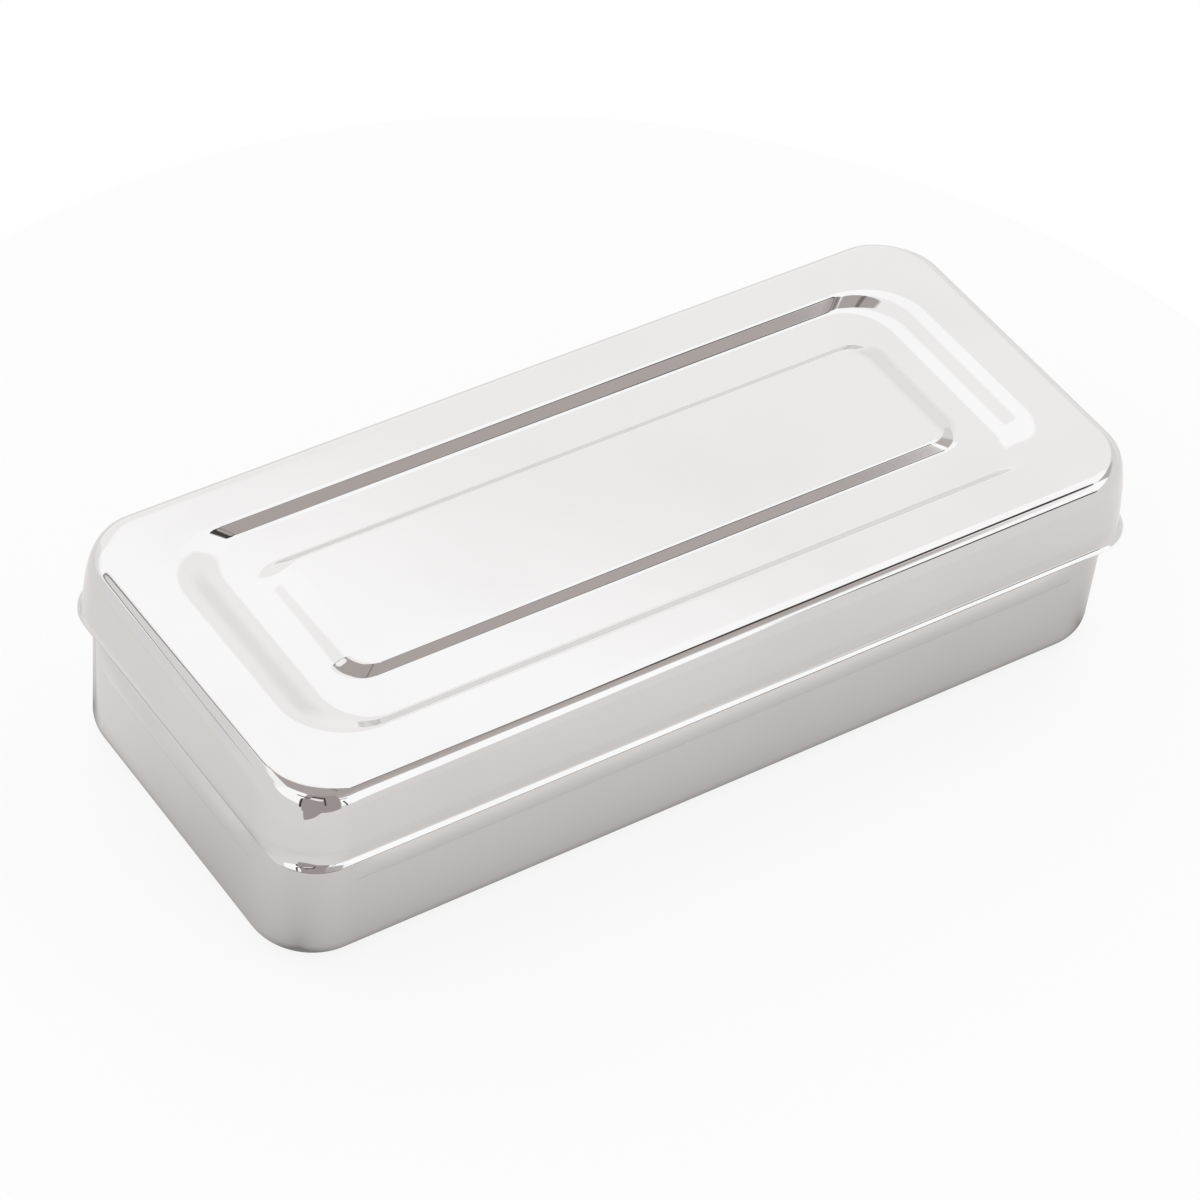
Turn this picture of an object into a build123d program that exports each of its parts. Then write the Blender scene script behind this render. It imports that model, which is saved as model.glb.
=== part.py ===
from build123d import *
from math import acos, degrees, radians, sqrt, tan
import os

# Sterilization box for hand instruments: a drawn steel base and a loose lid.
# The origin is the centre of the underside. X runs along the box and Z is up.

# Overall size, taken over the flared lower edge of the lid
box_length = 180.0
box_width = 80.0
box_height = 41.6

# Sheet that both pieces are pressed from
sheet = 0.5

# Lid: its lower edge flares out along the sides, and most of all at the corners
lid_depth = 15.6
lip_corner_radius = 10.3
flare_height = 3.6
side_flare = 0.8
skirt_draft = 3.0
skirt_corner_radius = 12.3
shoulder_radius = 3.45

# Slopes of the recess and the panel, measured from the flat: steep along the sides of the box
# and gentle at its ends, with a rounded fold at the top and foot of each
side_slope = 32.0
end_slope = 16.0
fold_radius = 1.5

# Shallow recess pressed into the lid, measured at the top of its slopes
recess_length = 154.0
recess_width = 53.6
recess_corner_radius = 12.0
recess_depth = 1.5

# Panel raised again inside the recess. The channel around it is measured from the top of the
# recess's slopes to the top of the panel's.
end_channel = 15.7
side_channel = 12.7
panel_corner_radius = 4.0
panel_height = 1.2

# Base
rim_clearance = 0.3
wall_draft = 0.8
base_corner_radius = 12.3
bottom_radius = 4.4

# Stop ribs pressed out of the straight walls, just under the lid
rib_radius = 6.5
rib_height = 1.2
rib_run_out = 10.0
rib_seat_gap = 0.4

# Levels of the lid's lower edge, of the top of its flare, of the recess floor, and of the base's
# rim, which stands as high as the straight part of the skirt
lid_edge_z = box_height - lid_depth
skirt_z = lid_edge_z + flare_height
recess_floor_z = box_height - recess_depth
rim_z = box_height - shoulder_radius

# Skirt of the lid, on its outer face: at the top of the flare, and where it would meet the top
skirt_width = box_width - 2 * side_flare
top_lean = (box_height - skirt_z) * tan(radians(skirt_draft))
top_length = box_length - 2 * top_lean
top_width = skirt_width - 2 * top_lean

# Outside of the base at its rim, which passes inside the leaning skirt
rim_inset = (rim_z - skirt_z) * tan(radians(skirt_draft)) + sheet + rim_clearance
rim_length = box_length - 2 * rim_inset
rim_width = skirt_width - 2 * rim_inset

# Panel, at the top of its slopes
panel_length = recess_length - 2 * end_channel
panel_width = recess_width - 2 * side_channel

# Runs of the slopes: the floor of the recess is smaller than its top, and the foot of the panel
# is larger than its top
recess_side_run = recess_depth / tan(radians(side_slope))
recess_end_run = recess_depth / tan(radians(end_slope))
panel_side_run = panel_height / tan(radians(side_slope))
panel_end_run = panel_height / tan(radians(end_slope))

# A rib is part of a round bar let into the wall. Its crest comes out under the lid's edge, and
# at the ends of the box its upper flank meets the inside of that edge with the seat gap between
edge_wall_inset = rim_inset + (rim_z - lid_edge_z) * tan(radians(wall_draft))
rib_axis_inset = edge_wall_inset + rib_radius - rib_height
seat_reach = rib_axis_inset - sheet
rib_z = lid_edge_z - rib_seat_gap - sqrt(rib_radius**2 - seat_reach**2)

# Each rib fills the straight wall between two corners, and its ends sink into the wall on arcs
# that carry on until the bar is inside the sheet
side_rib_straight = rim_length - 2 * (base_corner_radius + rib_run_out)
end_rib_straight = rim_width - 2 * (base_corner_radius + rib_run_out)
side_rib_reach = skirt_width / 2 - rib_axis_inset
end_rib_reach = box_length / 2 - rib_axis_inset
run_out_radius = (rib_run_out**2 + rib_height**2) / (2 * rib_height)
sink_angle = degrees(acos(1 - (rib_height + 2 * sheet) / run_out_radius))


def pan(inset):
    """The base as a solid block, or its hollow when it is inset by the sheet."""
    with BuildPart() as block:
        with BuildSketch(Plane.XY.offset(rim_z)):
            RectangleRounded(
                rim_length - 2 * inset, rim_width - 2 * inset, base_corner_radius - inset
            )
        extrude(amount=inset - rim_z, taper=wall_draft)
        underside = block.faces().sort_by(Axis.Z)[0]
        fillet(underside.edges(), bottom_radius - inset)
    return block.part


def rib_bars(straight, reach, radius):
    """The two bars along a pair of opposite walls, with their axes at this reach."""
    with BuildPart() as bars:
        with BuildLine(Plane.XY.offset(rib_z)) as axis:
            run = Line((-straight / 2, -reach), (straight / 2, -reach))
            JernArc(run @ 1, run % 1, run_out_radius, sink_angle)
            JernArc(run @ 0, -(run % 0), run_out_radius, -sink_angle)
        path = axis.wire()
        with BuildSketch(Plane(origin=path @ 0, z_dir=path % 0)):
            Circle(radius)
        sweep(path=path)
        mirror(about=Plane.XZ)
    return bars.part


def lid_block(inset):
    """The lid as a solid block, or its hollow when it is inset by the sheet."""
    top_z = box_height - inset
    floor_z = recess_floor_z - inset

    # A sloping wall moved down by the sheet also moves sideways, to keep its thickness
    side_shift = inset * tan(radians(side_slope) / 2)
    end_shift = inset * tan(radians(end_slope) / 2)
    with BuildPart() as block:
        # Flared edge, leaning skirt and rounded shoulder
        with BuildSketch(Plane.XY.offset(lid_edge_z)):
            RectangleRounded(box_length - 2 * inset, box_width - 2 * inset, lip_corner_radius - inset)
        with BuildSketch(Plane.XY.offset(skirt_z)):
            RectangleRounded(
                box_length - 2 * inset, skirt_width - 2 * inset, skirt_corner_radius - inset
            )
        with BuildSketch(Plane.XY.offset(top_z)):
            RectangleRounded(top_length - 2 * inset, top_width - 2 * inset, skirt_corner_radius - inset)
        loft(ruled=True)
        top = block.faces().sort_by(Axis.Z)[-1]
        fillet(top.edges(), shoulder_radius - inset)

        # Recess
        with BuildSketch(Plane.XY.offset(top_z)):
            RectangleRounded(
                recess_length + 2 * end_shift,
                recess_width + 2 * side_shift,
                recess_corner_radius + side_shift,
            )
        with BuildSketch(Plane.XY.offset(floor_z)):
            RectangleRounded(
                recess_length - 2 * recess_end_run + 2 * end_shift,
                recess_width - 2 * recess_side_run + 2 * side_shift,
                recess_corner_radius - recess_side_run + side_shift,
            )
        loft(ruled=True, mode=Mode.SUBTRACT)
        upper_folds, lower_folds = block.edges(Select.LAST).filter_by(Plane.XY).group_by(Axis.Z)[::-1]
        fillet(lower_folds, fold_radius + inset)
        fillet(upper_folds, fold_radius - inset)

        # Raised panel
        with BuildSketch(Plane.XY.offset(floor_z)):
            RectangleRounded(
                panel_length + 2 * panel_end_run - 2 * end_shift,
                panel_width + 2 * panel_side_run - 2 * side_shift,
                panel_corner_radius + panel_side_run - side_shift,
            )
        with BuildSketch(Plane.XY.offset(floor_z + panel_height)):
            RectangleRounded(
                panel_length - 2 * end_shift,
                panel_width - 2 * side_shift,
                panel_corner_radius - side_shift,
            )
        loft(ruled=True)
        upper_folds, lower_folds = block.edges(Select.LAST).filter_by(Plane.XY).group_by(Axis.Z)[::-1]
        fillet(lower_folds, fold_radius + inset)
        fillet(upper_folds, fold_radius - inset)
    return block.part


outer_pan = pan(0)
inner_pan = pan(sheet)
side_ribs = rib_bars(side_rib_straight, side_rib_reach, rib_radius)
end_ribs = rib_bars(end_rib_straight, end_rib_reach, rib_radius)
side_grooves = rib_bars(side_rib_straight, side_rib_reach, rib_radius - sheet)
end_grooves = rib_bars(end_rib_straight, end_rib_reach, rib_radius - sheet)

# Space inside the base, with the grooves that stand behind the ribs
with BuildPart() as hollow:
    add(inner_pan)
    add(side_grooves)
    add(end_grooves, rotation=(0, 0, 90))

# Base: a drawn pan with a plain rim
with BuildPart() as base:
    add(outer_pan)
    add(side_ribs)
    add(end_ribs, rotation=(0, 0, 90))
    add(hollow.part, mode=Mode.SUBTRACT)

# Lid, with the same thickness of sheet everywhere
outer_lid = lid_block(0)
inner_lid = lid_block(sheet)
with BuildPart() as lid:
    add(outer_lid)
    add(inner_lid, mode=Mode.SUBTRACT)

base.part.label = "base"
lid.part.label = "lid"

os.makedirs("parts", exist_ok=True)
export_step(base.part, "parts/base.step")
export_step(lid.part, "parts/lid.step")
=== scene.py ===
from math import acos, ceil, cos, pi, radians, sin, sqrt, tan

import bpy
import numpy as np
from mathutils import Matrix, Vector


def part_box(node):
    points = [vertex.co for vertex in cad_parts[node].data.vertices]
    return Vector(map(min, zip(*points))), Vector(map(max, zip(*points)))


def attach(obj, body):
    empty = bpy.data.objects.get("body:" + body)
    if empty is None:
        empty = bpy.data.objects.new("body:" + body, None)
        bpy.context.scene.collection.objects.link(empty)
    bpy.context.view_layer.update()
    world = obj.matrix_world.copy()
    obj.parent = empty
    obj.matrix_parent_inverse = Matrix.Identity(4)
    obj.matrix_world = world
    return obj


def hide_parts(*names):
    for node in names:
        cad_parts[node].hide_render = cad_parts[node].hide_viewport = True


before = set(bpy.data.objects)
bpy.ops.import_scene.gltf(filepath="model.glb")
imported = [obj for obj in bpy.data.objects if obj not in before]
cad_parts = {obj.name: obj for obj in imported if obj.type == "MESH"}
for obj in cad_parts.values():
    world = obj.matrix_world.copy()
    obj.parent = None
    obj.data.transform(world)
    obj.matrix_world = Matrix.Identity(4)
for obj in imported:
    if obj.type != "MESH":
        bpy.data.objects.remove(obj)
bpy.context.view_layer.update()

# Steel instrument box: a drawn base and a loose lid, in polished sheet.
# Sizes are in millimetres here and become metres when a mesh is made.
MM = 0.001
lid_low, lid_high = (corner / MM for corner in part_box("lid"))
HALF_LENGTH = lid_high.x
HALF_WIDTH = lid_high.y
HEIGHT = lid_high.z
EDGE_Z = lid_low.z
SHEET = 0.5
CUT_EDGE = 0.12

# Lid: flared edge, leaning skirt and rounded shoulder. Along the sides the edge turns out sharply,
# between two heights over itself. It takes a wider curve at the corners, and at the ends of the
# box it is drawn in a little. The skirt's corners are eased between two heights too.
LIP_CORNER = 9.5
FLARE_HEIGHT = 3.6
SIDE_FLARE = 0.8
LIP_BEND = (0.56, 0.99)
LIP_SLOPE = 1.035
END_TUCK = 0.7
SKIRT_DRAFT = radians(3.0)
SKIRT_CORNER = 12.3
CORNER_EASE = 0.38
EASE_HEIGHTS = (8.0, 12.6)
SHOULDER = 3.45
BORDER_RUN = 6.0

# Recess and raised panel: half sizes and corner radius at the top of their slopes, and the share
# of a slope's run that the soft fold at its top and foot takes to each side
RECESS = (77.0, 27.1, 12.0)
RECESS_DEPTH = 1.5
PANEL = (61.3, 14.1, 4.0)
PANEL_HEIGHT = 1.2
SIDE_SLOPE = radians(32.0)
END_SLOPE = radians(16.0)
SIDE_FOLD = 0.15
END_FOLD = 0.36

# Base, with a rib on each wall: a crease at its foot, a low crest, and a long upper flank that
# rolls back to the wall under the lid
RIM_BELOW_TOP = 3.45
RIM_GAP = 0.3
WALL_DRAFT = radians(0.8)
WALL_CORNER = 12.3
BOTTOM_RADIUS = 4.4
BOTTOM_RUN = 6.0
RIB_RADIUS = 8.0
RIB_HEIGHT = 0.6
RIB_CREASE = 0.45
RIB_LOW_Z = 19.3
RIB_CREST_Z = 20.9
RIB_HIGH_Z = 25.4
RIB_ROLL_BACK = 2.6
RIB_RUN_OUT = 12.0

SKIRT_Z = EDGE_Z + FLARE_HEIGHT
RIM_Z = HEIGHT - RIM_BELOW_TOP
SKIRT_HALF_WIDTH = HALF_WIDTH - SIDE_FLARE
RIM_INSET = (RIM_Z - SKIRT_Z) * tan(SKIRT_DRAFT) + SHEET + RIM_GAP
WALL_INSET = RIM_INSET + (RIM_Z - EDGE_Z) * tan(WALL_DRAFT)

# Points around each ring, by stretch, and the smallest corner that a ring is given
LONG_STEPS = 96
SHORT_STEPS = 40
CORNER_STEPS = 28
LEAST_RADIUS = 0.3

# Rings along each stretch of a section. The flare's stand closer together towards its edge.
FLARE_STEPS = 26
FLARE_CROWDING = 1.6
SLOPE_STEPS = 40
RIB_BACK_STEPS = 8
RIB_FLANK_STEPS = 22
RIB_UNDER_STEPS = 8
RIB_CREASE_STEPS = 7
WALL_ABOVE_STEPS = 10
WALL_BELOW_STEPS = 12
TURN_STEPS = 20
BOTTOM_STEPS = 3


def ring(half_x, half_y, radius):
    """Around a rounded rectangle: x, y, outward x and y, the place along a straight side (-1 at a
    corner) and that side's length."""
    sides = (
        (half_x - radius, half_y, 0.0, 1.0, LONG_STEPS),
        (-half_x, half_y - radius, -1.0, 0.0, SHORT_STEPS),
        (radius - half_x, -half_y, 0.0, -1.0, LONG_STEPS),
        (half_x, radius - half_y, 1.0, 0.0, SHORT_STEPS),
    )
    points = []
    for x, y, out_x, out_y, steps in sides:
        straight = 2 * ((half_y if out_x else half_x) - radius)
        for k in range(steps):
            along = k / steps * straight
            points.append((x - out_y * along, y + out_x * along, out_x, out_y, along, straight))
        centre_x = x - out_y * straight - out_x * radius
        centre_y = y + out_x * straight - out_y * radius
        for k in range(CORNER_STEPS):
            turn = pi / 2 * k / CORNER_STEPS
            to_x = out_x * cos(turn) - out_y * sin(turn)
            to_y = out_y * cos(turn) + out_x * sin(turn)
            points.append((
                centre_x + radius * to_x, centre_y + radius * to_y, to_x, to_y, -1.0, straight
            ))
    return np.array(points)


def row(half_x, half_y, radius, z):
    """One level ring of points."""
    points = ring(half_x, half_y, max(radius, LEAST_RADIUS))
    return np.column_stack([points[:, :2], np.full(len(points), z)])


def rounded(corners, turn_step=radians(3.0), longest=2.0):
    """A section through corners (across, height, radius), rounded there and cut in short steps."""
    path = [Vector(corners[0][:2])]
    for before, here, after in zip(corners, corners[1:], corners[2:]):
        back = (Vector(before[:2]) - Vector(here[:2])).normalized()
        on = (Vector(after[:2]) - Vector(here[:2])).normalized()
        between = acos(back.dot(on))
        centre = Vector(here[:2]) + (back + on).normalized() * here[2] / sin(between / 2)
        first = Vector(here[:2]) + back * here[2] / tan(between / 2) - centre
        turned = pi - between
        if back.x * on.y - back.y * on.x > 0:
            turned = -turned
        steps = max(3, round(abs(turned) / turn_step))
        for k in range(steps + 1):
            path.append(centre + Matrix.Rotation(turned * k / steps, 2) @ first)
    path.append(Vector(corners[-1][:2]))
    fine = [path[0]]
    for start, end in zip(path, path[1:]):
        steps = max(1, ceil((end - start).length / longest))
        fine += [start.lerp(end, (k + 1) / steps) for k in range(steps)]
    return fine


def eased(share):
    """From 0 to 1 with a level start and end."""
    return share**2 * (3 - 2 * share)


def lip_reach(rise):
    """How far the lip stands out at this height over its edge: a straight flank, then a bend."""
    low, high = LIP_BEND
    if rise < low:
        return LIP_SLOPE * ((low + high) / 2 - rise)
    return LIP_SLOPE * max(high - rise, 0) ** 2 / (2 * (high - low))


def lid_side(depth):
    """Rings from the lid's lower edge up to the flat border, at this depth under the outer face."""
    top = HEIGHT - depth
    lean = (HEIGHT - SKIRT_Z) * tan(SKIRT_DRAFT)
    skirt_half_width = HALF_WIDTH - lip_reach(0)
    rows = []
    for k in range(FLARE_STEPS):
        rise = CUT_EDGE + (FLARE_HEIGHT - CUT_EDGE) * (k / FLARE_STEPS) ** FLARE_CROWDING
        curl = (1 - rise / FLARE_HEIGHT) ** 2
        rows.append(row(
            HALF_LENGTH - END_TUCK * curl - depth,
            skirt_half_width + lip_reach(rise) - depth,
            SKIRT_CORNER + (LIP_CORNER - SKIRT_CORNER) * curl - depth,
            EDGE_Z + rise,
        ))

    corners = [(-lean, SKIRT_Z, 0), (0, top, SHOULDER - depth), (BORDER_RUN, top, 0)]
    ease_low, ease_high = (EDGE_Z + height for height in EASE_HEIGHTS)
    for inset, z in rounded(corners, longest=1.0):
        half_x = HALF_LENGTH - lean - inset - depth
        half_y = skirt_half_width - lean - inset - depth
        radius = SKIRT_CORNER - max(inset + depth, depth)
        level = row(half_x, half_y, radius, z)
        out = ring(half_x, half_y, radius)[:, 2:4]
        ease = CORNER_EASE * min(max((z - ease_low) / (ease_high - ease_low), 0), 1) ** 2
        level[:, :2] -= out * (ease * (2 * out[:, :1] * out[:, 1:]) ** 2)
        rows.append(level)
    return rows


def cut_edge(half_x, half_y, radius, z, up):
    """Rings over a cut edge of the sheet, from its outer face to its inner face."""
    corners = [(0, CUT_EDGE, 0), (0, 0, CUT_EDGE), (SHEET / 2, 0, 0)]
    section = [(across, height) for across, height in rounded(corners, radians(15))[1:-1]]
    section += [(SHEET - across, height) for across, height in reversed(section)]
    return [row(half_x - a, half_y - a, radius - a, z + up * h) for a, h in section]


def press(top, floor, high, low, wider):
    """Rings down a sloping wall from its top to its foot, with a soft fold at each. The folds are
    rounder at the ends of the box than along its sides."""
    rows = []
    for k in range(SLOPE_STEPS + 1):
        place = (1 + 2 * END_FOLD) * k / SLOPE_STEPS - END_FOLD
        half_x, half_y, radius = (a + (b - a) * place for a, b in zip(top, floor))
        around = (half_x + wider[0], half_y + wider[1], radius + wider[1])
        share = SIDE_FOLD + (END_FOLD - SIDE_FOLD) * ring(*around)[:, 2] ** 2
        into = np.clip(place + share, 0, 2 * share) ** 2 / (4 * share)
        out = np.clip(place - 1 + share, 0, 2 * share) ** 2 / (4 * share)
        level = row(*around, high)
        level[:, 2] += (low - high) * (into + np.clip(place - share, 0, 1) - out)
        rows.append(level)
    return rows


def lid_top(depth):
    """Rings of the recess and the raised panel, from the border to the flat of the panel."""
    top = HEIGHT - depth
    floor = top - RECESS_DEPTH
    side_run, end_run = RECESS_DEPTH / tan(SIDE_SLOPE), RECESS_DEPTH / tan(END_SLOPE)
    recess_floor = (RECESS[0] - end_run, RECESS[1] - side_run, RECESS[2] - side_run)
    side_rise, end_rise = PANEL_HEIGHT / tan(SIDE_SLOPE), PANEL_HEIGHT / tan(END_SLOPE)
    panel_foot = (PANEL[0] + end_rise, PANEL[1] + side_rise, PANEL[2] + side_rise)
    wider = (depth * tan(END_SLOPE / 2), depth * tan(SIDE_SLOPE / 2))
    narrower = tuple(-shift for shift in wider)
    down = press(RECESS, recess_floor, top, floor, wider)
    up = press(panel_foot, PANEL, floor, floor + PANEL_HEIGHT, narrower)
    return down + up


def rib_share(along, straight):
    """How much of the rib's full relief stands at a place along a straight wall."""
    if along < 0:
        return 0.0
    share = min(min(along, straight - along) / RIB_RUN_OUT, 1.0)
    return 1 - (1 - share) ** 2


def rib_profile():
    """Heights and outward reaches of a rib's section, from above it to below it."""

    def crest(z):
        return RIB_HEIGHT - RIB_RADIUS + sqrt(RIB_RADIUS**2 - (z - RIB_CREST_Z) ** 2)

    profile = []
    for k in range(RIB_BACK_STEPS):
        share = k / RIB_BACK_STEPS
        profile.append((RIB_HIGH_Z + RIB_ROLL_BACK * (1 - share), crest(RIB_HIGH_Z) * eased(share)))
    for k in range(RIB_FLANK_STEPS + 1):
        z = RIB_HIGH_Z + (RIB_CREST_Z - RIB_HIGH_Z) * k / RIB_FLANK_STEPS
        profile.append((z, crest(z)))
    for k in range(1, RIB_UNDER_STEPS + 1):
        z = RIB_CREST_Z + (RIB_LOW_Z - RIB_CREST_Z) * k / RIB_UNDER_STEPS
        profile.append((z, crest(z)))
    for k in range(1, RIB_CREASE_STEPS + 1):
        share = k / RIB_CREASE_STEPS
        profile.append((RIB_LOW_Z - RIB_CREASE * share, crest(RIB_LOW_Z) * (1 - eased(share))))
    return profile


def base_wall(depth):
    """Rings of one face of the base, from its rim down to the flat of its bottom."""
    wall = ring(HALF_LENGTH - WALL_INSET, SKIRT_HALF_WIDTH - WALL_INSET, WALL_CORNER)
    shares = np.array([rib_share(along, straight) for along, straight in wall[:, 4:]])

    def level(z, reach):
        out = reach * shares - depth - (EDGE_Z - z) * tan(WALL_DRAFT)
        return np.column_stack([wall[:, :2] + wall[:, 2:4] * out[:, None], np.full(len(wall), z)])

    # Straight wall above the rib, the rib, and straight wall below it
    rib = rib_profile()
    top, rib_top, rib_foot = RIM_Z - CUT_EDGE, rib[0][0], rib[-1][0]
    rows = []
    for k in range(WALL_ABOVE_STEPS):
        rows.append(level(top + (rib_top - top) * k / WALL_ABOVE_STEPS, 0.0))
    rows += [level(z, reach) for z, reach in rib]
    for k in range(1, WALL_BELOW_STEPS):
        rows.append(level(rib_foot + (BOTTOM_RADIUS - rib_foot) * k / WALL_BELOW_STEPS, 0.0))

    # Turn into the bottom, and a first stretch of its flat
    foot = WALL_INSET + (EDGE_Z - BOTTOM_RADIUS) * tan(WALL_DRAFT) + BOTTOM_RADIUS
    for k in range(TURN_STEPS + BOTTOM_STEPS + 1):
        turn = min(pi / 2 * k / TURN_STEPS, pi / 2)
        run = BOTTOM_RUN * max(k - TURN_STEPS, 0) / BOTTOM_STEPS
        inset = foot - (BOTTOM_RADIUS - depth) * cos(turn) + run
        z = BOTTOM_RADIUS - (BOTTOM_RADIUS - depth) * sin(turn)
        rows.append(row(
            HALF_LENGTH - inset, SKIRT_HALF_WIDTH - inset, WALL_CORNER + WALL_INSET - inset, z
        ))
    return rows


def shell(name, rows):
    """A closed skin through rings of equal count, with normals taken from the rings themselves."""
    grid = np.array(rows)
    count, around = grid.shape[:2]
    along = np.gradient(grid, axis=0)
    across = np.roll(grid, -1, axis=1) - np.roll(grid, 1, axis=1)
    normals = np.cross(across, along)
    normals /= np.maximum(np.linalg.norm(normals, axis=2, keepdims=True), 1e-12)
    faces = []
    for i in range(count - 1):
        here, above = i * around, (i + 1) * around
        for j in range(around):
            k = (j + 1) % around
            faces.append((here + j, here + k, above + k, above + j))
    faces.append(tuple(reversed(range(around))))
    faces.append(tuple((count - 1) * around + j for j in range(around)))
    mesh = bpy.data.meshes.new(name)
    mesh.from_pydata((grid.reshape(-1, 3) * MM).tolist(), [], faces)
    mesh.polygons.foreach_set("use_smooth", [True] * len(mesh.polygons))
    mesh.normals_split_custom_set_from_vertices(normals.reshape(-1, 3).tolist())
    mesh.update()
    piece = bpy.data.objects.new(name, mesh)
    bpy.context.collection.objects.link(piece)
    return piece


# Each shell runs over one face, round the cut edge and back over the other face
lip = cut_edge(HALF_LENGTH - END_TUCK, HALF_WIDTH, LIP_CORNER, EDGE_Z, 1)
lid_inside = lid_side(SHEET) + lid_top(SHEET)
lid_outside = lid_side(0) + lid_top(0)
lid = shell("lid_shell", lid_inside[::-1] + lip[::-1] + lid_outside)
rim_corner = WALL_CORNER + WALL_INSET - RIM_INSET
rim = cut_edge(HALF_LENGTH - RIM_INSET, SKIRT_HALF_WIDTH - RIM_INSET, rim_corner, RIM_Z, -1)
base = shell("base_shell", base_wall(0)[::-1] + rim + base_wall(SHEET))

for piece, name in ((lid, "lid"), (base, "base")):
    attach(piece, name)
    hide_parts(name)


class Nodes:
    """Short calls for building a node tree."""

    def __init__(self, tree):
        self.tree = tree
        tree.nodes.clear()

    def add(self, kind, **values):
        node = self.tree.nodes.new(kind)
        for key, value in values.items():
            setattr(node, key, value)
        return node

    def put(self, socket, value):
        if isinstance(value, bpy.types.NodeSocket):
            self.tree.links.new(value, socket)
        else:
            socket.default_value = value

    def math(self, operation, *values):
        node = self.add("ShaderNodeMath", operation=operation)
        for socket, value in zip(node.inputs, values):
            self.put(socket, value)
        return node.outputs[0]

    def chain(self, operation, values):
        result = values[0]
        for value in values[1:]:
            result = self.math(operation, result, value)
        return result

    def total(self, *values):
        return self.chain("ADD", values)

    def both(self, *masks):
        return self.chain("MULTIPLY", masks)

    def either(self, *masks):
        return self.chain("MAXIMUM", masks)

    def without(self, mask):
        return self.math("SUBTRACT", 1.0, mask)

    def minus(self, value):
        return self.math("MULTIPLY", value, -1.0)

    def step(self, value, middle, width):
        """0 below the middle and 1 above it, with a smooth change of this width."""
        node = self.add("ShaderNodeMapRange", interpolation_type="SMOOTHSTEP")
        self.put(node.inputs["Value"], value)
        node.inputs["From Min"].default_value = middle - width / 2
        node.inputs["From Max"].default_value = middle + width / 2
        return node.outputs[0]

    def beyond(self, value, limit, width):
        """A step at a limit that is itself worked out by nodes."""
        return self.step(self.math("SUBTRACT", value, limit), 0.0, width)

    def band(self, value, low, high, width):
        """1 between two values."""
        return self.math("SUBTRACT", self.step(value, low, width), self.step(value, high, width))

    def edge(self, value, level, *bends):
        """A level line that bends. Each bend has a start, a slope and the most that it adds."""
        for start, slope, most in bends:
            steep = abs(slope)
            grown = self.math("MAXIMUM", self.math("MULTIPLY_ADD", value, steep, -steep * start), 0.0)
            grown = self.math("MINIMUM", grown, most)
            level = self.math("MULTIPLY_ADD", grown, 1.0 if slope > 0 else -1.0, level)
        return level

    def mix(self, factor, a, b):
        node = self.add("ShaderNodeMix", data_type="RGBA")
        self.put(node.inputs[0], factor)
        self.put(node.inputs[6], a)
        self.put(node.inputs[7], b)
        return node.outputs[2]


def grey(level, warmth=0.0):
    return (level * (1 + warmth), level, level * (1 - warmth), 1.0)


# Finish of the steel: colour and roughness of each piece, faint waves of the sheet, polishing
# marks along the box, fine specks, and dull patches. Heights are in metres.
LID_STEEL = ((0.67, 0.657, 0.653, 1.0), 0.004)
BASE_STEEL = ((0.66, 0.646, 0.641, 1.0), 0.01)

WAVE_SCALE = 14.0
WAVE_DETAIL = 2.0
WAVE_HEIGHT = 0.0001

MARK_SCALE = 900.0
MARK_DETAIL = 3.0
MARK_STRETCH = (0.05, 1.0, 1.0)
MARK_DULLING = 0.012

SPECK_SCALE = 1400.0
SPECK_DETAIL = 2.0
SPECK_HEIGHT = 0.000004
SPECK_STRENGTH = 0.25

PATCH_SCALE = 28.0
PATCH_DETAIL = 4.0
PATCH_COVER = (0.6, 0.3)
PATCH_DULLING = 0.02
PATCH_DIMMING = 0.97


def steel(name, colour, roughness):
    """Polished sheet, with its waves, marks, specks and dull patches."""
    material = bpy.data.materials.new(name)
    material.use_nodes = True
    n = Nodes(material.node_tree)
    out = n.add("ShaderNodeOutputMaterial")
    shader = n.add("ShaderNodeBsdfPrincipled")
    shader.inputs["Metallic"].default_value = 1.0
    coords = n.add("ShaderNodeTexCoord").outputs["Object"]

    def noise(scale, detail, stretch=(1.0, 1.0, 1.0)):
        mapping = n.add("ShaderNodeMapping")
        n.put(mapping.inputs["Vector"], coords)
        mapping.inputs["Scale"].default_value = stretch
        node = n.add("ShaderNodeTexNoise")
        n.put(node.inputs["Vector"], mapping.outputs[0])
        node.inputs["Scale"].default_value = scale
        node.inputs["Detail"].default_value = detail
        return node.outputs["Fac"]

    def bump(height, distance, strength):
        node = n.add("ShaderNodeBump")
        n.put(node.inputs["Height"], height)
        node.inputs["Distance"].default_value = distance
        node.inputs["Strength"].default_value = strength
        return node

    marks = noise(MARK_SCALE, MARK_DETAIL, MARK_STRETCH)
    patches = n.step(noise(PATCH_SCALE, PATCH_DETAIL), *PATCH_COVER)
    rough = n.math("MULTIPLY_ADD", patches, PATCH_DULLING, roughness)
    n.put(shader.inputs["Roughness"], n.math("MULTIPLY_ADD", marks, MARK_DULLING, rough))
    dimmed = tuple(channel * PATCH_DIMMING for channel in colour[:3]) + (1.0,)
    n.put(shader.inputs["Base Color"], n.mix(patches, colour, dimmed))
    waves = bump(noise(WAVE_SCALE, WAVE_DETAIL), WAVE_HEIGHT, 1.0)
    specks = bump(noise(SPECK_SCALE, SPECK_DETAIL), SPECK_HEIGHT, SPECK_STRENGTH)
    n.put(specks.inputs["Normal"], waves.outputs[0])
    n.put(shader.inputs["Normal"], specks.outputs[0])
    n.put(out.inputs["Surface"], shader.outputs[0])
    return material


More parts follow.
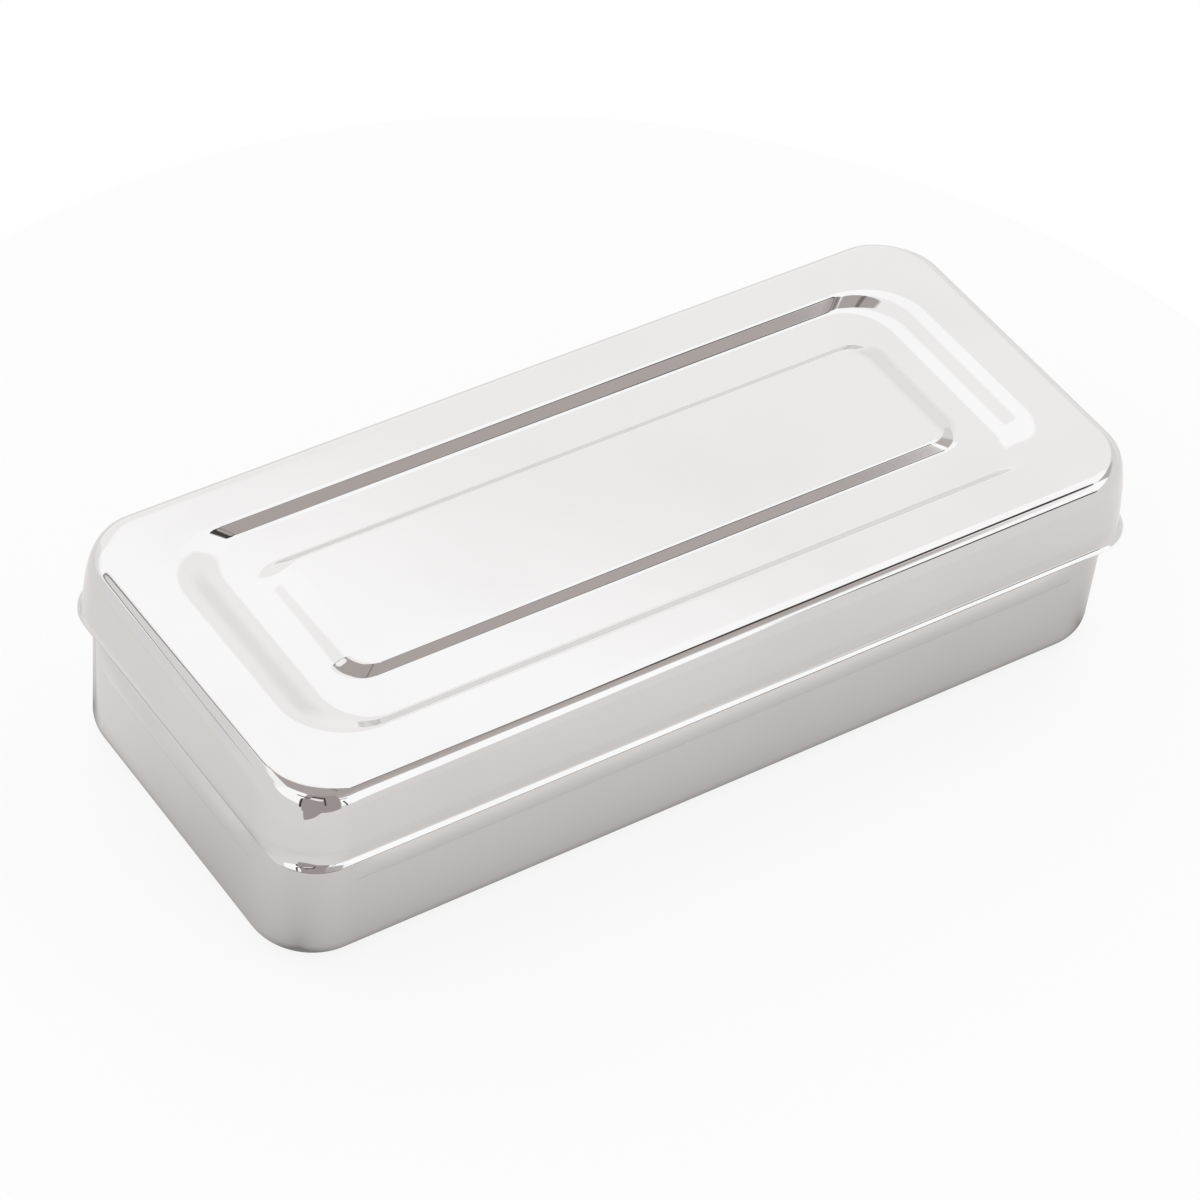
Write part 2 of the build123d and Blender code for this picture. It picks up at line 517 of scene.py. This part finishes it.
lid.data.materials.append(steel("lid_polished", *LID_STEEL))
base.data.materials.append(steel("base_polished", *BASE_STEEL))

# Floor: a pale sheet, in metres, that keeps the object's shadow. In the steel it shows painted shade,
# darker close to the box and around it, and a painted lighter patch in one even tone beside the far
# part of its left end.
FLOOR_RADIUS = 0.16
FLOOR_SIDES = 96
FLOOR_GREY = 0.9
FLOOR_GLOW = 0.85
FLOOR_TONE = 0.98
FLOOR_TINT = (0.975, 0.965)
PAINTED_CLOSE_SHADE = 0.45
CLOSE_REACH = 0.0035
PAINTED_WIDE_SHADE = 0.25
WIDE_REACH = 0.03
PAINTED_LEFT_LIGHT = 0.94
LEFT_EDGE_WIDTH = 0.004
LEFT_FROM = (0.016, 0.058)


def painted_floor_shading(n, x, y):
    """The floor's tone in the steel, with painted shade from how far a place is off the box's
    outline, and a painted lighter patch beside the left end.
    """
    off = []
    for place, half in ((x, HALF_LENGTH), (y, HALF_WIDTH)):
        beside = n.math("SUBTRACT", n.math("ABSOLUTE", place), (half - BOTTOM_RADIUS) * MM)
        off.append(n.math("POWER", n.math("MAXIMUM", beside, 0.0), 2.0))
    away = n.math("SQRT", n.total(*off))
    # Painted shade: the steel sees the floor darker close to the box and in a wider pool around it
    close = n.math("EXPONENT", n.math("MULTIPLY", away, -1 / CLOSE_REACH))
    wide = n.math("EXPONENT", n.math("MULTIPLY", n.math("MULTIPLY", away, away), -1 / WIDE_REACH**2))
    tone = n.math("MULTIPLY_ADD", wide, -PAINTED_WIDE_SHADE, FLOOR_TONE)
    tone = n.math("MULTIPLY_ADD", close, -PAINTED_CLOSE_SHADE, tone)
    # Painted light: beside the far part of the left end the floor in the steel is set to one lighter
    # even tone in place of the painted shade
    painted_left_light = n.both(n.step(n.minus(x), HALF_LENGTH * MM, LEFT_EDGE_WIDTH), n.step(y, *LEFT_FROM))
    return n.total(tone, n.both(painted_left_light, n.math("SUBTRACT", PAINTED_LEFT_LIGHT, tone)))


def floor_look():
    """White to the camera's rays in part, with painted shade and light to the steel's rays, and plain
    diffuse otherwise.
    """
    material = bpy.data.materials.new("floor_white")
    material.use_nodes = True
    n = Nodes(material.node_tree)
    out = n.add("ShaderNodeOutputMaterial")
    diffuse = n.add("ShaderNodeBsdfDiffuse")
    diffuse.inputs["Color"].default_value = grey(FLOOR_GREY)
    rays = n.add("ShaderNodeLightPath").outputs
    seen = n.math("MULTIPLY", rays["Is Camera Ray"], FLOOR_GLOW)
    mirrored = n.either(rays["Is Glossy Ray"], rays["Is Transmission Ray"])
    place = n.add("ShaderNodeSeparateXYZ")
    n.put(place.inputs[0], n.add("ShaderNodeTexCoord").outputs["Object"])
    tone = painted_floor_shading(n, place.outputs[0], place.outputs[1])
    tinted = n.add("ShaderNodeCombineColor")
    n.put(tinted.inputs[0], tone)
    n.put(tinted.inputs[1], n.math("MULTIPLY", tone, FLOOR_TINT[0]))
    n.put(tinted.inputs[2], n.math("MULTIPLY", tone, FLOOR_TINT[1]))
    glow = n.add("ShaderNodeEmission")
    n.put(glow.inputs["Color"], n.mix(mirrored, grey(1.0), tinted.outputs[0]))
    blend = n.add("ShaderNodeMixShader")
    n.put(blend.inputs[0], n.either(seen, mirrored))
    n.put(blend.inputs[1], diffuse.outputs[0])
    n.put(blend.inputs[2], glow.outputs[0])
    n.put(out.inputs["Surface"], blend.outputs[0])
    return material


def make_floor():
    turns = [2 * pi * k / FLOOR_SIDES for k in range(FLOOR_SIDES)]
    points = [(FLOOR_RADIUS * cos(turn), FLOOR_RADIUS * sin(turn), 0.0) for turn in turns]
    mesh = bpy.data.meshes.new("floor")
    mesh.from_pydata(points, [], [tuple(range(FLOOR_SIDES))])
    mesh.materials.append(floor_look())
    floor = bpy.data.objects.new("floor", mesh)
    bpy.context.collection.objects.link(floor)
    return floor


make_floor()

# Camera: its focal length in pixels of a picture 1200 wide, the turn from the world's axes to the
# view's (right, down, ahead), and the origin's place in the view, in millimetres
PICTURE = 1200
FOCAL = 4819.48
CAMERA_TURN = Vector((2.277, -0.641, 0.3881))
CAMERA_SHIFT = Vector((-0.1728, 12.181, 870.56))
SENSOR = 36.0
CLIP_END = 20.0


def make_camera():
    to_world = Matrix.Rotation(CAMERA_TURN.length, 3, CAMERA_TURN.normalized()).transposed()
    flip = Matrix(((1, 0, 0), (0, -1, 0), (0, 0, -1)))
    data = bpy.data.cameras.new("camera")
    data.sensor_width = SENSOR
    data.lens = FOCAL / PICTURE * SENSOR
    data.clip_end = CLIP_END
    camera = bpy.data.objects.new("camera", data)
    place = -(to_world @ CAMERA_SHIFT) * MM
    camera.matrix_world = Matrix.Translation(place) @ (to_world @ flip).to_4x4()
    bpy.context.collection.objects.link(camera)
    return camera


bpy.context.scene.camera = make_camera()

# Studio around the box: a wide white overhead light, white cards low in front and at the left, a
# brown gap between light and cards, a dark stand with clamps, and pale grey elsewhere.
# A place in it is given by how far right and back a ray has gone when it has risen by 1, or by its
# bearing (degrees to the right of the front) and its rise (degrees over the floor).
# An edge is a level and its bends, as Nodes.edge takes them. Other pairs are the middle and the
# width of a step, and other triples the low, the high and the width of a band.
LEAST_UP = 0.02
ROOM = grey(0.965)

# Overhead light: its edges, then its tones: in full, towards the far right, low down at the front
# and right, and just inside its left edge
LIGHT_LEFT = (0.085, (0.7, -6.0, 0.16), (0.73, -2.1, 1.9))
LIGHT_LEFT_WIDTH = 0.02
LIGHT_FRONT = (0.28, (0.1, -1.8, 0.48), (0.49, 3.0, 0.13), (0.62, -1.0, 0.06), (0.8, 1.0, 1.6))
LIGHT_FRONT_WIDTH = 0.03
LIGHT_FOOT = (0.0, 0.04)
LIGHT = grey(1.42, -0.008)
LIGHT_FAR = grey(1.24)
FAR_BACK_SHARE = 0.8
FAR_PLACE = (1.31, 0.14)
LIGHT_LOW = grey(1.09)
LOW_PLACE = (-28.0, 16.0)
LOW_BEARING = (136.0, 8.0)
LIGHT_INSIDE_EDGE = grey(1.26)
INSIDE_REACH = 0.12
INSIDE_WIDTH = 0.1

FRONT_CARD = grey(1.45, -0.008)
FRONT_CARD_TOP = (38.0, (35.0, 0.6, 18.0))
FRONT_CARD_TOP_WIDTH = 5.0
FRONT_CARD_FOOT = (-4.0, (22.0, 3.0, 34.0))
FRONT_CARD_FOOT_WIDTH = 2.0
FRONT_CARD_SIDES = (-4.0, 78.0, 4.0)

LEFT_CARD = grey(1.42)
LEFT_CARD_FAR = grey(1.32)
LEFT_CARD_TOP = (-0.5, (0.05, 0.9, 0.7))
LEFT_CARD_TOP_WIDTH = 0.04
LEFT_CARD_FOOT = (53.0, (-113.0, -0.98, 60.0))
LEFT_CARD_FOOT_WIDTH = 6.0
LEFT_CARD_SIDE = (52.0, 3.0)
FAR_LEFT = (93.0, 6.0)
FAR_BEHIND = (160.0, 10.0)

# Brown gap, darker higher up. It is also open at the right, and ends at the back and low down.
GAP_LOW = (0.67, 0.63, 0.615, 1.0)
GAP_HIGH = (0.56, 0.52, 0.505, 1.0)
GAP_RISE = (50.0, 24.0)
GAP_AT_RIGHT = (80.0, 104.0, 4.0)
GAP_BACK = (0.66, 0.04)
GAP_FOOT = (28.0, 6.0)

STAND = (0.46, 0.42, 0.41, 1.0)
STAND_SIDES = (-53.0, -4.0, 3.0)
STAND_TOP = (58.0, 3.0)
STAND_FOOT = (-34.0, (-22.0, 1.15, 60.0))
STAND_FOOT_AT_LEFT = (46.0, 2.5, 60.0)
STAND_FOOT_WIDTH = 3.0

# Thin dark lines: along the light's front edge in a wide and a narrow part, along its left edge,
# a thread beside it, and under the front card. A share of less than 1 makes a line fainter.
DARK = (0.08, 0.07, 0.065, 1.0)
WIDE_LINE = (-0.19, 0.0, 0.03)
WIDE_PLACE = (0.5, 0.67, 0.05)
NARROW_LINE = (-0.08, 0.0, 0.03)
NARROW_PLACE = (0.4, 0.5, 0.05)
NARROW_SHARE = 0.5
LEFT_LINE = (-0.07, 0.0, 0.03)
LEFT_LINE_BACK = (0.66, 0.05)
LEFT_LINE_UP = (0.3, 0.05)
LEFT_LINE_SHARE = 0.7
THREAD_LEAN = 0.125
THREAD_AT = 0.165
THREAD_LINE = (-0.015, 0.015, 0.015)
THREAD_PLACE = (-0.2, 0.12, 0.03)
THREAD_SHARE = 0.6
FOOT_LINE = (-6.0, -0.3, 1.0)
FOOT_PLACE = (33.5, 39.0, 2.0)

# Bright and dark clamps on the stand: start and end, half width, and the width of their edge
BRIGHT = grey(1.2)
BRIGHT_CLAMP = ((-41.0, 37.0), (-33.0, 33.0), 4.5, 2.0)
DARK_CLAMPS = (
    ((-62.0, 44.0), (-48.0, 38.0), 1.8, 1.2),
    ((-42.0, 47.0), (-28.0, 45.0), 3.0, 2.0),
    ((-27.0, 42.0), (-26.0, 6.0), 1.2, 1.0),
    ((-54.0, 30.0), (-54.0, -6.0), 1.4, 1.0),
    ((-5.0, 32.0), (9.0, 31.0), 1.2, 1.0),
    ((1.0, 20.0), (6.0, -6.0), 1.4, 1.0),
)


def stroke(n, bearing, rise, start, end, half_width, soft):
    """A short bar between two places, each a bearing and a rise."""
    run = (end[0] - start[0], end[1] - start[1])
    span = run[0] ** 2 + run[1] ** 2
    come = (n.total(bearing, -start[0]), n.total(rise, -start[1]))
    share = n.total(*(n.math("MULTIPLY", c, r / span) for c, r in zip(come, run)))
    share = n.math("MINIMUM", n.math("MAXIMUM", share, 0.0), 1.0)
    off = [n.math("SUBTRACT", c, n.math("MULTIPLY", share, r)) for c, r in zip(come, run)]
    away = n.math("SQRT", n.total(*(n.math("MULTIPLY", o, o) for o in off)))
    return n.without(n.step(away, half_width, soft))


def studio(n, right, back, up):
    """Colour of the studio in a direction."""
    risen = n.math("MAXIMUM", up, LEAST_UP)
    over_x = n.math("DIVIDE", right, risen)
    over_y = n.math("DIVIDE", back, risen)
    rise = n.math("MULTIPLY", n.math("ARCSINE", up), 180 / pi)
    bearing = n.math("MULTIPLY", n.math("ARCTAN2", right, n.minus(back)), 180 / pi)
    to_left = n.minus(bearing)

    light_left = n.edge(over_y, *LIGHT_LEFT)
    light_front = n.edge(over_x, *LIGHT_FRONT)
    lit = n.both(
        n.beyond(over_x, light_left, LIGHT_LEFT_WIDTH),
        n.beyond(over_y, light_front, LIGHT_FRONT_WIDTH),
        n.step(up, *LIGHT_FOOT),
    )

    over_card = n.beyond(rise, n.edge(bearing, *FRONT_CARD_TOP), FRONT_CARD_TOP_WIDTH)
    card_foot = n.edge(bearing, *FRONT_CARD_FOOT)
    front_card = n.both(
        n.without(over_card),
        n.beyond(rise, card_foot, FRONT_CARD_FOOT_WIDTH),
        n.band(bearing, *FRONT_CARD_SIDES),
    )

    over_left_card = n.beyond(over_x, n.edge(over_y, *LEFT_CARD_TOP), LEFT_CARD_TOP_WIDTH)
    left_card = n.both(
        n.without(over_left_card),
        n.beyond(rise, n.edge(bearing, *LEFT_CARD_FOOT), LEFT_CARD_FOOT_WIDTH),
        n.step(to_left, *LEFT_CARD_SIDE),
    )
    far_left = n.either(n.step(bearing, *FAR_BEHIND), n.step(to_left, *FAR_LEFT))

    gap = n.both(
        over_left_card,
        n.either(over_card, n.band(bearing, *GAP_AT_RIGHT)),
        n.without(n.step(over_y, *GAP_BACK)),
        n.step(rise, *GAP_FOOT),
    )
    stand_foot = n.edge(to_left, n.edge(bearing, *STAND_FOOT), STAND_FOOT_AT_LEFT)
    stand = n.both(
        n.band(bearing, *STAND_SIDES),
        n.beyond(rise, stand_foot, STAND_FOOT_WIDTH),
        n.without(n.step(rise, *STAND_TOP)),
    )

    colour = n.mix(left_card, ROOM, n.mix(far_left, LEFT_CARD, LEFT_CARD_FAR))
    colour = n.mix(gap, colour, n.mix(n.step(rise, *GAP_RISE), GAP_LOW, GAP_HIGH))
    colour = n.mix(front_card, colour, FRONT_CARD)
    colour = n.mix(stand, colour, STAND)

    far = n.step(n.math("MULTIPLY_ADD", over_y, FAR_BACK_SHARE, over_x), *FAR_PLACE)
    low = n.both(n.step(n.minus(rise), *LOW_PLACE), n.without(n.step(bearing, *LOW_BEARING)))
    inside = n.beyond(over_x, n.total(light_left, INSIDE_REACH), INSIDE_WIDTH)
    light = n.mix(low, n.mix(far, LIGHT, LIGHT_FAR), LIGHT_LOW)
    colour = n.mix(lit, colour, n.mix(inside, LIGHT_INSIDE_EDGE, light))

    below_light = n.math("SUBTRACT", over_y, light_front)
    beside_light = n.math("SUBTRACT", over_x, light_left)
    beside_thread = n.math("SUBTRACT", over_x, n.math("MULTIPLY_ADD", over_y, THREAD_LEAN, THREAD_AT))
    under_card = n.math("SUBTRACT", rise, card_foot)
    wide = n.both(n.band(below_light, *WIDE_LINE), n.band(over_x, *WIDE_PLACE))
    narrow = n.both(n.band(below_light, *NARROW_LINE), n.band(over_x, *NARROW_PLACE))
    left = n.both(
        n.band(beside_light, *LEFT_LINE), n.step(over_y, *LEFT_LINE_BACK), n.step(up, *LEFT_LINE_UP)
    )
    thread = n.both(n.band(beside_thread, *THREAD_LINE), n.band(over_y, *THREAD_PLACE))
    foot = n.both(n.band(under_card, *FOOT_LINE), n.band(bearing, *FOOT_PLACE))
    lines = n.either(
        wide,
        foot,
        n.math("MULTIPLY", narrow, NARROW_SHARE),
        n.math("MULTIPLY", left, LEFT_LINE_SHARE),
        n.math("MULTIPLY", thread, THREAD_SHARE),
    )
    colour = n.mix(lines, colour, DARK)

    colour = n.mix(stroke(n, bearing, rise, *BRIGHT_CLAMP), colour, BRIGHT)
    clamps = n.either(*(stroke(n, bearing, rise, *clamp) for clamp in DARK_CLAMPS))
    return n.mix(clamps, colour, DARK)


def make_world():
    """The studio, which the camera itself sees as plain white."""
    world = bpy.data.worlds.new("studio")
    world.use_nodes = True
    n = Nodes(world.node_tree)
    out = n.add("ShaderNodeOutputWorld")
    direction = n.add("ShaderNodeSeparateXYZ")
    n.put(direction.inputs[0], n.add("ShaderNodeTexCoord").outputs["Generated"])
    colour = studio(n, *direction.outputs)
    camera_ray = n.add("ShaderNodeLightPath").outputs["Is Camera Ray"]
    background = n.add("ShaderNodeBackground")
    n.put(background.inputs["Color"], n.mix(camera_ray, colour, grey(1.0)))
    n.put(out.inputs["Surface"], background.outputs[0])
    return world


bpy.context.scene.world = make_world()
bpy.context.scene.view_settings.view_transform = "Standard"
